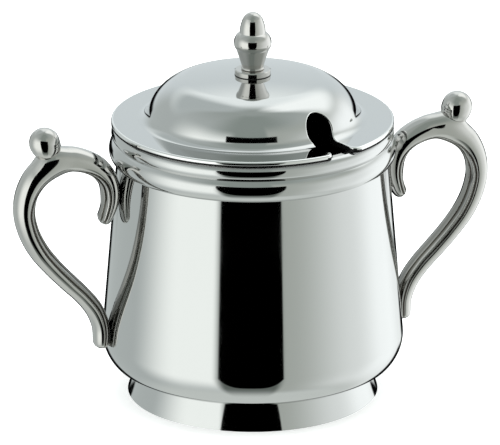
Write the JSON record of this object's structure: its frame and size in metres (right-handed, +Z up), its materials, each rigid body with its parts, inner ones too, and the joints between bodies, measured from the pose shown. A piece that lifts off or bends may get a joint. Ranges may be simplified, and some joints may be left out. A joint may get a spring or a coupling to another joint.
{
  "type": "sugar pot",
  "caption": "Polished steel sugar pot with scrolled side handles, a beaded rim, and a lift-off domed lid with a knob and a slot for a spoon.",
  "frame": {"origin": "centre of the foot ring's resting face, on the pot's axis", "axes": "+Z up along the pot's axis, +X towards the right handle"},
  "size_m": [0.1572, 0.0968, 0.1265],
  "materials": {
    "polished_steel": "mirror-polished sheet stainless steel",
    "cast_steel": "polished castings, darker in the grooves",
    "fastener_steel": "plain turned steel, out of sight inside the lid"
  },
  "bodies": {
    "pot": {"bowl": "polished_steel", "rim_moulding": "polished_steel", "foot_ring": "polished_steel", "handle_right": "cast_steel", "handle_left": "cast_steel"},
    "lid": {"lid": "polished_steel", "lid_locating_ring": "polished_steel", "lid_knob": "cast_steel", "knob_washer": "fastener_steel", "knob_screw": "fastener_steel"}
  },
  "joints": [
    {"name": "lid_lift", "type": "slide", "parent": "pot", "child": "lid", "axis": [0, 0, 1], "range_m": [0, 0.04]}
  ]
}
